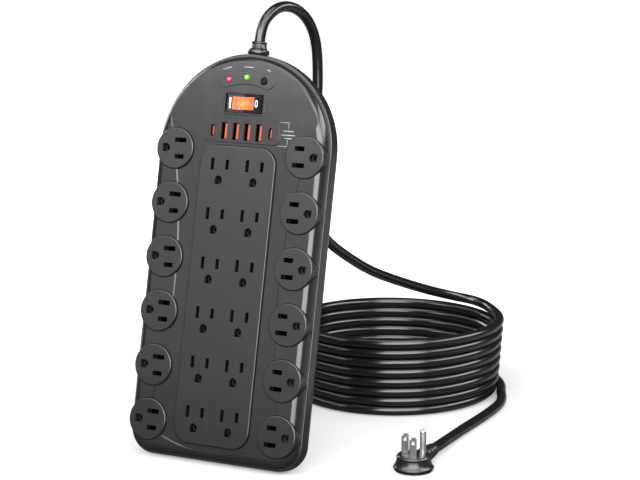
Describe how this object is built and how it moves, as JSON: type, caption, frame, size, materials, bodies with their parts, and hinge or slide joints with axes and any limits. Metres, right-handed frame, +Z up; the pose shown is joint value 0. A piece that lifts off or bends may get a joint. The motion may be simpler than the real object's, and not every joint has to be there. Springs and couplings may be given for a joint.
{
  "type": "surge protector power strip",
  "caption": "Tall arched case leaning on its lower end, rows of grounded outlets, USB ports, lit rocker switch, test button and coiled cord with flat plug.",
  "frame": {"origin": "on the floor, under the middle of the case, midway between its front and its rear", "axes": "+X to the right as the outlets are faced, +Y to the rear, where the coil lies, +Z up; the case leans back by 12.93 degrees about X"},
  "size_m": [0.2319, 0.3625, 0.3448],
  "materials": {
    "case": "satin moulded charcoal",
    "outlet_face": "satin moulded charcoal",
    "switch_black": "gloss moulded black",
    "amber_lens": "clear amber moulding, lit from inside",
    "brass": "stamped strip",
    "nickel": "nickel plated",
    "steel": "zinc plated",
    "insulator": "moulded insulating plate",
    "board": "green circuit board",
    "orange_plastic": "moulded orange",
    "red_lens": "moulded red lamp",
    "green_lens": "moulded green lamp",
    "lamp_glass": "clear glass",
    "component_blue": "dipped epoxy",
    "component_grey": "wound core in tape",
    "cord_sheath": "extruded gloss black",
    "moulded_rubber": "moulded black"
  },
  "bodies": {
    "root": {"front_cover": "case", "rear_cover": "case", "indicator_panel": "case", "usb_panel": "case", "outlet_panel": "outlet_face", "outlet_left_1": "outlet_face", "outlet_left_2": "outlet_face", "outlet_left_3": "outlet_face", "outlet_left_4": "outlet_face", "outlet_left_5": "outlet_face", "outlet_left_6": "outlet_face", "outlet_right_1": "outlet_face", "outlet_right_2": "outlet_face", "outlet_right_3": "outlet_face", "outlet_right_4": "outlet_face", "outlet_right_5": "outlet_face", "outlet_right_6": "outlet_face", "bus_left_hot": "brass", "bus_left_neutral": "brass", "bus_left_ground": "brass", "bus_mid_left_hot": "brass", "bus_mid_left_neutral": "brass", "bus_mid_left_ground": "brass", "bus_mid_right_hot": "brass", "bus_mid_right_neutral": "brass", "bus_mid_right_ground": "brass", "bus_right_hot": "brass", "bus_right_neutral": "brass", "bus_right_ground": "brass", "bus_carrier": "insulator", "case_screws": "steel", "switch_housing": "switch_black", "test_switch_body": "switch_black", "switch_lamp": "lamp_glass", "switch_terminals": "brass", "indicator_board": "board", "usb_board": "board", "surge_board": "board", "protected_led": "red_lens", "grounded_led": "green_lens", "usb_a_shells": "nickel", "usb_c_shells": "nickel", "plug_blades": "nickel", "plug_ground_pin": "nickel", "usb_a_tongues": "orange_plastic", "usb_c_tongues": "orange_plastic", "usb_transformer": "component_grey", "thermal_fuse": "component_grey", "varistors": "component_blue", "strain_relief": "moulded_rubber", "plug_body": "moulded_rubber", "plug_collar": "moulded_rubber", "cord_lead": "cord_sheath", "cord_coil": "cord_sheath", "cord_tail": "cord_sheath"},
    "rocker": {"switch_rocker": "switch_black", "rocker_lens": "amber_lens"},
    "test_button": {"test_button": "switch_black", "test_switch_plunger": "switch_black"}
  },
  "joints": [
    {"name": "rocker_tilt", "type": "hinge", "parent": "root", "child": "rocker", "pos_m": [0, 0.01882, 0.26924], "axis": [0, 0.2238, 0.9746], "range_deg": [0, 14]},
    {"name": "test_button_press", "type": "slide", "parent": "root", "child": "test_button", "axis": [0, 0.9746, -0.2238], "range_m": [0, 0.001], "stiffness_N_per_m": 500, "springref_m": -0.001}
  ]
}
